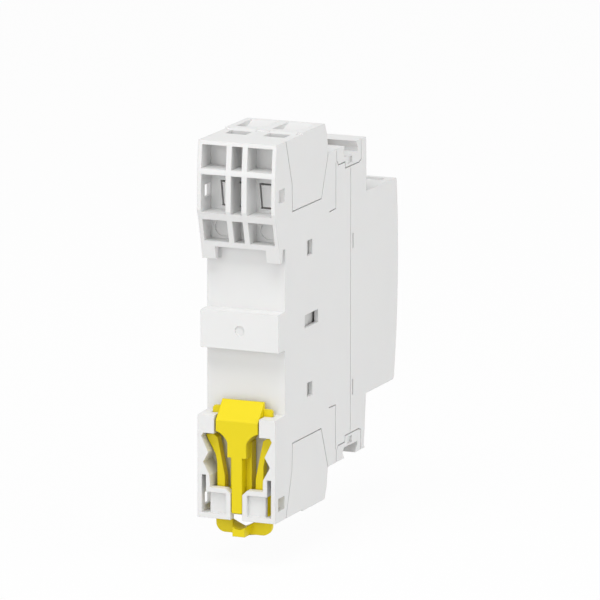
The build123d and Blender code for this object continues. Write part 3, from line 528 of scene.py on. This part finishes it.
def clipGuide(look):
    # a funnel that leads a screwdriver into the slot: rings along Y, each with a hollow top
    count = look["guideSides"]
    points, faces = [], []
    for depth, half, edge, middle, roundness, under, bottom in look["guideRows"]:
        ring = []
        for i in range(count + 1):
            share = 2 * i / count - 1
            ring.append((share * half, depth, middle + (edge - middle) * abs(share) ** roundness))
        ring += [(under, depth, bottom), (-under, depth, bottom)]
        points += [(x * mm, y * mm, z * mm) for x, y, z in ring]
    size = count + 3
    for row in range(len(look["guideRows"]) - 1):
        for i in range(size):
            after = (i + 1) % size
            here, beyond = row * size, (row + 1) * size
            faces.append([here + i, here + after, beyond + after, beyond + i])
    faces.append(list(range(size)))
    faces.append([len(points) - size + i for i in range(size)])
    return closedMesh("clip_guide", points, faces)


def formedClip(look):
    # the clip's solid with fuller wings and a shorter rib, and with a guide in its slot
    wingLow, wingHigh = look["wingHeight"]
    wingNear, wingFar = look["wingDepth"]
    wingInner, wingOuter = look["wingHalf"]
    ribLow, ribHigh = look["ribEnd"]
    shape = bmesh.new()
    shape.from_mesh(nodes["rail_clip"].data)
    bmesh.ops.remove_doubles(shape, verts=shape.verts, dist=mergeDistance)
    for vert in shape.verts:
        x, y, z = vert.co
        if wingLow < z < wingHigh and wingNear < y < wingFar and abs(x) > wingInner:
            if abs(x) > wingOuter and z > look["shoulderStart"]:
                vert.co.z = look["wingShoulder"]
            elif z > look["topStart"]:
                vert.co.z = look["wingTop"]
                if abs(x) > look["cornerStart"]:
                    vert.co.x = math.copysign(look["wingCorner"], x)
        if ribLow < z < ribHigh and abs(x) < look["ribHalf"]:
            vert.co.z += look["ribRise"]
    body = bpy.data.meshes.new("clip_body")
    shape.to_mesh(body)
    shape.free()
    slot = closedMesh("clip_slot", [
        (x, y, z) for x in (-look["slotHalf"], look["slotHalf"])
        for y in (look["slotBack"], look["slotFront"])
        for z in (look["slotBottom"], look["slotTop"])], boxFaces)
    body = joinedMesh("rail_clip_cut", body, slot, "DIFFERENCE")
    return joinedMesh("rail_clip_formed", body, clipGuide(look), "UNION")


clip = bpy.data.objects.new("rail_clip_formed", formedClip(clipLook))
clip.data.materials.clear()
clip.data.materials.append(finishes["clip_yellow"])
bpy.context.scene.collection.objects.link(clip)
place(clip, "rail_clip", True)
print("rail clip formed:", len(clip.data.polygons), "faces")

# a copy of the two arms, with doubled points merged, stands in for them
shape = bmesh.new()
shape.from_mesh(nodes["clip_spring_arms"].data)
bmesh.ops.remove_doubles(shape, verts=shape.verts, dist=mergeDistance)
armMesh = bpy.data.meshes.new("clip_spring_arms_bending")
shape.to_mesh(armMesh)
shape.free()
armMesh.materials.append(finishes["clip_yellow"])
arms = bpy.data.objects.new("clip_spring_arms_bending", armMesh)
bpy.context.scene.collection.objects.link(arms)
place(arms, "clip_spring_arms", True)
low, high = (Vector(corner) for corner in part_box("clip_spring_arms"))
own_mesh(arms)
print("clip arms fitted")

stageLooks = {
    "floorDrop": 6.0 * mm,  # clears the rail clip in its lower notches
    "floorReach": 3.0,
    "floorTone": 0.8,
    "floorRoughness": 0.9,
    "floorShine": 0.1,
    "floorWhiteness": 0.95,  # share of plain white that the camera sees on the floor
    "ambient": 0.42,
}


def whiteToTheEye(tree):
    # rays from the camera, and mirrored or refracted ones, see plain white
    path = addNode(tree, "ShaderNodeLightPath")
    either = addNode(tree, "ShaderNodeMath", operation="MAXIMUM")
    tree.links.new(path.outputs["Is Camera Ray"], either.inputs[0])
    tree.links.new(path.outputs["Is Glossy Ray"], either.inputs[1])
    anyOf = addNode(tree, "ShaderNodeMath", operation="MAXIMUM")
    tree.links.new(either.outputs[0], anyOf.inputs[0])
    tree.links.new(path.outputs["Is Transmission Ray"], anyOf.inputs[1])
    return anyOf.outputs[0]


world = bpy.data.worlds.new("studio")
bpy.context.scene.world = world
world.use_nodes = True
worldTree = world.node_tree
background = worldTree.nodes["Background"]
background.inputs["Color"].default_value = (1, 1, 1, 1)
background.inputs["Strength"].default_value = stageLooks["ambient"]
white = addNode(worldTree, "ShaderNodeBackground")
white.inputs["Color"].default_value = (1, 1, 1, 1)
white.inputs["Strength"].default_value = 1.0
chooser = addNode(worldTree, "ShaderNodeMixShader")
worldTree.links.new(whiteToTheEye(worldTree), chooser.inputs["Fac"])
worldTree.links.new(background.outputs[0], chooser.inputs[1])
worldTree.links.new(white.outputs[0], chooser.inputs[2])
worldTree.links.new(chooser.outputs[0], worldTree.nodes["World Output"].inputs["Surface"])

floorHeight = startBounds[0][2] - stageLooks["floorDrop"]
floorMesh = bpy.data.meshes.new("floor")
reach = stageLooks["floorReach"]
floorMesh.from_pydata(
    [(-reach, -reach, floorHeight), (reach, -reach, floorHeight),
     (reach, reach, floorHeight), (-reach, reach, floorHeight)], [], [(0, 1, 2, 3)])
floor = bpy.data.objects.new("floor", floorMesh)
bpy.context.scene.collection.objects.link(floor)
floorFinish, floorTree, floorShader = newMaterial("floor_finish")
floorShader.inputs["Base Color"].default_value = (*[stageLooks["floorTone"]] * 3, 1)
floorShader.inputs["Roughness"].default_value = stageLooks["floorRoughness"]
floorShader.inputs["Specular IOR Level"].default_value = stageLooks["floorShine"]
plainWhite = addNode(floorTree, "ShaderNodeEmission")
floorMix = addNode(floorTree, "ShaderNodeMixShader")
share = addNode(floorTree, "ShaderNodeMath", operation="MULTIPLY")
share.inputs[1].default_value = stageLooks["floorWhiteness"]
floorTree.links.new(whiteToTheEye(floorTree), share.inputs[0])
floorTree.links.new(share.outputs[0], floorMix.inputs["Fac"])
floorTree.links.new(floorShader.outputs[0], floorMix.inputs[1])
floorTree.links.new(plainWhite.outputs[0], floorMix.inputs[2])
floorTree.links.new(floorMix.outputs[0], floorTree.nodes["Material Output"].inputs["Surface"])
floor.data.materials.append(floorFinish)

lamps = {
    # name: spot in metres, width, height, power in watts
    "keyAbove": ((-0.1, 0.55, 1.2), 0.8, 0.8, 10.5),
    "fillFlank": ((-1.1, 0.1, 0.3), 0.9, 0.9, 5.2),
    "fillBehind": ((0.3, 1.2, 0.3), 0.9, 0.9, 5.0),
}
lampTarget = Vector((0, -0.02, 0))
for lampName, (spot, wide, tall, power) in lamps.items():
    data = bpy.data.lights.new(lampName, "AREA")
    data.shape = "RECTANGLE"
    data.size = wide
    data.size_y = tall
    data.energy = power
    lamp = bpy.data.objects.new(lampName, data)
    lamp.location = spot
    lamp.rotation_euler = (lampTarget - Vector(spot)).to_track_quat("-Z", "Y").to_euler()
    bpy.context.scene.collection.objects.link(lamp)

# camera: solved from the photograph against the 35 mm seat and the module's width
cameraLook = {
    "eye": (-0.64301, 1.48189, 0.34196),
    "right": (-0.92006, -0.39178, 0.00064),
    "up": (0.08035, -0.18711, 0.97905),
    "back": (-0.38345, 0.90083, 0.20363),
    "lens": 474.35, "sensor": 36.0, "nearest": 0.1, "farthest": 20.0,
}
cameraData = bpy.data.cameras.new("camera")
cameraData.lens = cameraLook["lens"]
cameraData.sensor_width = cameraLook["sensor"]
cameraData.clip_start = cameraLook["nearest"]
cameraData.clip_end = cameraLook["farthest"]
camera = bpy.data.objects.new("camera", cameraData)
turn = Matrix((cameraLook["right"], cameraLook["up"], cameraLook["back"])).transposed().to_4x4()
camera.matrix_world = Matrix.Translation(cameraLook["eye"]) @ turn
bpy.context.scene.collection.objects.link(camera)
bpy.context.scene.camera = camera
bpy.context.scene.view_settings.view_transform = "Standard"
print("stage, lamps and camera placed")
